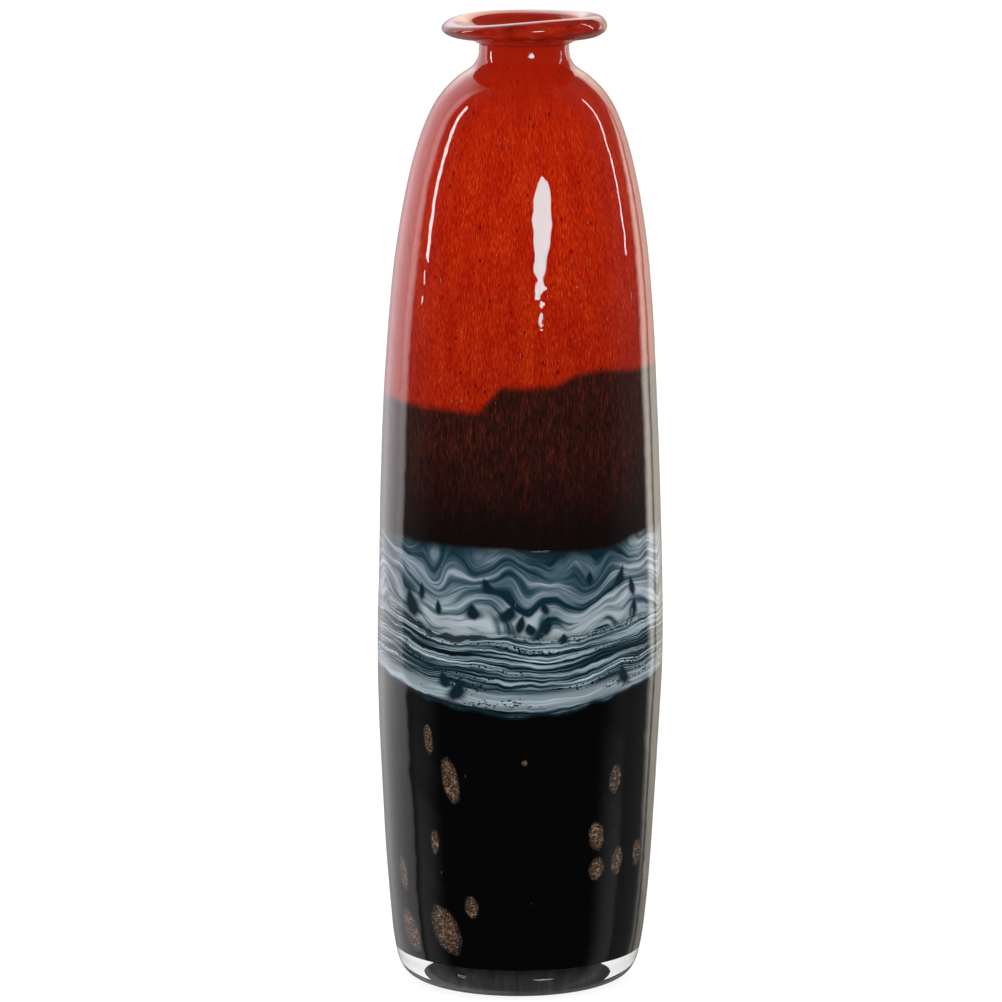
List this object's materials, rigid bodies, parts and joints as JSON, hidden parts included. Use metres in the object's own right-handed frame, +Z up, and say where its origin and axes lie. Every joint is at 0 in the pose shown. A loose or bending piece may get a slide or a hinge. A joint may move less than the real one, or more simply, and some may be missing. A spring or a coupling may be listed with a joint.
{
  "type": "art glass vase",
  "caption": "Tall narrow hand blown bottle vase with a thick clear casing over red, dark, marbled white and black glass, a short neck and a wide rolled lip.",
  "frame": {"origin": "middle of the resting face, on the surface the vase stands on", "axes": "+Z up towards the mouth; -Y is the front, the side that is seen first; +X is to the right of it"},
  "size_m": [0.1184, 0.1184, 0.4],
  "materials": {
    "clear_glass": "polished clear casing",
    "red_glass": "glossy, red with fine orange streaks",
    "dark_glass": "glossy, dark brown with red streaks",
    "marbled_glass": "glossy, white and slate blue marbling",
    "black_glass": "glossy black",
    "copper_glass": "sparkling copper aventurine"
  },
  "bodies": {
    "root": {"clear_casing": "clear_glass", "inner_lining": "clear_glass", "black_glass_cup": "black_glass", "marbled_white_band": "marbled_glass", "dark_glass_band": "dark_glass", "red_shoulder_coat": "red_glass", "lip_coil": "red_glass", "copper_fleck_01": "copper_glass", "copper_fleck_02": "copper_glass", "copper_fleck_03": "copper_glass", "copper_fleck_04": "copper_glass", "copper_fleck_05": "copper_glass", "copper_fleck_06": "copper_glass", "copper_fleck_07": "copper_glass", "copper_fleck_08": "copper_glass", "copper_fleck_09": "copper_glass", "copper_fleck_10": "copper_glass", "copper_fleck_11": "copper_glass", "copper_fleck_12": "copper_glass", "copper_fleck_13": "copper_glass", "copper_fleck_14": "copper_glass", "copper_fleck_15": "copper_glass", "copper_fleck_16": "copper_glass", "copper_fleck_17": "copper_glass", "copper_fleck_18": "copper_glass", "copper_fleck_19": "copper_glass", "copper_fleck_20": "copper_glass", "copper_fleck_21": "copper_glass", "copper_fleck_22": "copper_glass", "copper_fleck_23": "copper_glass", "copper_fleck_24": "copper_glass", "copper_fleck_25": "copper_glass", "copper_fleck_26": "copper_glass", "copper_fleck_27": "copper_glass", "copper_fleck_28": "copper_glass"}
  },
  "joints": []
}
